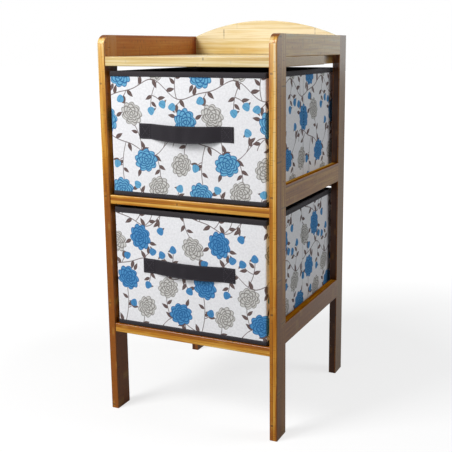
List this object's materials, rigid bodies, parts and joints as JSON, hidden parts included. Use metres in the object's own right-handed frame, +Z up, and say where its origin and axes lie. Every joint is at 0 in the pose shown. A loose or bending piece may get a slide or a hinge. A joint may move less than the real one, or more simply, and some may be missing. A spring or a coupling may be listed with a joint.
{
  "type": "drawer unit",
  "caption": "Slim bamboo stand with ladder-like side frames, a top shelf with an arched back, and fold-flat cloth drawers with strap handles that slide out.",
  "frame": {"origin": "middle of the whole unit's footprint, straps included, on the floor", "axes": "+X to the right seen from the front, +Y from front to back, +Z up; the drawers open towards -Y"},
  "size_m": [0.355, 0.3792, 0.757],
  "materials": {
    "bamboo": "honey bamboo strips with nodes, satin lacquer",
    "dowel": "plain beech, unlacquered",
    "steel": "zinc-plated steel",
    "zinc": "die-cast zinc, dull",
    "printed_cloth": "white non-woven cloth with a floral print",
    "lining_cloth": "dark non-woven cloth",
    "greyboard": "grey pressed board, sewn in",
    "base_board_cloth": "board covered with dark non-woven cloth",
    "binding_tape": "dark ribbed binding tape, sewn",
    "webbing": "dark woven webbing, sewn in a square at both ends"
  },
  "bodies": {
    "frame": {"left_front_stile": "bamboo", "left_rear_stile": "bamboo", "left_bottom_rail": "bamboo", "left_mid_rail": "bamboo", "left_top_rail": "bamboo", "left_frame_dowels": "dowel", "right_front_stile": "bamboo", "right_rear_stile": "bamboo", "right_bottom_rail": "bamboo", "right_mid_rail": "bamboo", "right_top_rail": "bamboo", "right_frame_dowels": "dowel", "top_shelf": "bamboo", "arched_back_board": "bamboo", "front_mid_crossbar": "bamboo", "rear_mid_crossbar": "bamboo", "front_lower_crossbar": "bamboo", "rear_lower_crossbar": "bamboo", "lower_left_runner": "bamboo", "lower_right_runner": "bamboo", "upper_left_runner": "bamboo", "upper_right_runner": "bamboo", "shelf_dowels": "dowel", "crossbar_pins": "dowel", "back_board_pins": "dowel", "runner_pins": "dowel", "cam_bolts": "steel", "cams": "zinc"},
    "upper_drawer": {"upper_drawer_cover": "printed_cloth", "upper_drawer_lining": "lining_cloth", "upper_drawer_front_stiffener": "greyboard", "upper_drawer_rear_stiffener": "greyboard", "upper_drawer_left_front_stiffener": "greyboard", "upper_drawer_left_rear_stiffener": "greyboard", "upper_drawer_right_front_stiffener": "greyboard", "upper_drawer_right_rear_stiffener": "greyboard", "upper_drawer_base_board": "base_board_cloth", "upper_drawer_rim_binding": "binding_tape", "upper_drawer_hem_binding": "binding_tape", "upper_drawer_strap": "webbing"},
    "lower_drawer": {"lower_drawer_cover": "printed_cloth", "lower_drawer_lining": "lining_cloth", "lower_drawer_front_stiffener": "greyboard", "lower_drawer_rear_stiffener": "greyboard", "lower_drawer_left_front_stiffener": "greyboard", "lower_drawer_left_rear_stiffener": "greyboard", "lower_drawer_right_front_stiffener": "greyboard", "lower_drawer_right_rear_stiffener": "greyboard", "lower_drawer_base_board": "base_board_cloth", "lower_drawer_rim_binding": "binding_tape", "lower_drawer_hem_binding": "binding_tape", "lower_drawer_strap": "webbing"}
  },
  "joints": [
    {"name": "upper_drawer_slide", "type": "slide", "parent": "frame", "child": "upper_drawer", "axis": [0, -1, 0], "range_m": [0, 0.25]},
    {"name": "lower_drawer_slide", "type": "slide", "parent": "frame", "child": "lower_drawer", "axis": [0, -1, 0], "range_m": [0, 0.25]}
  ]
}
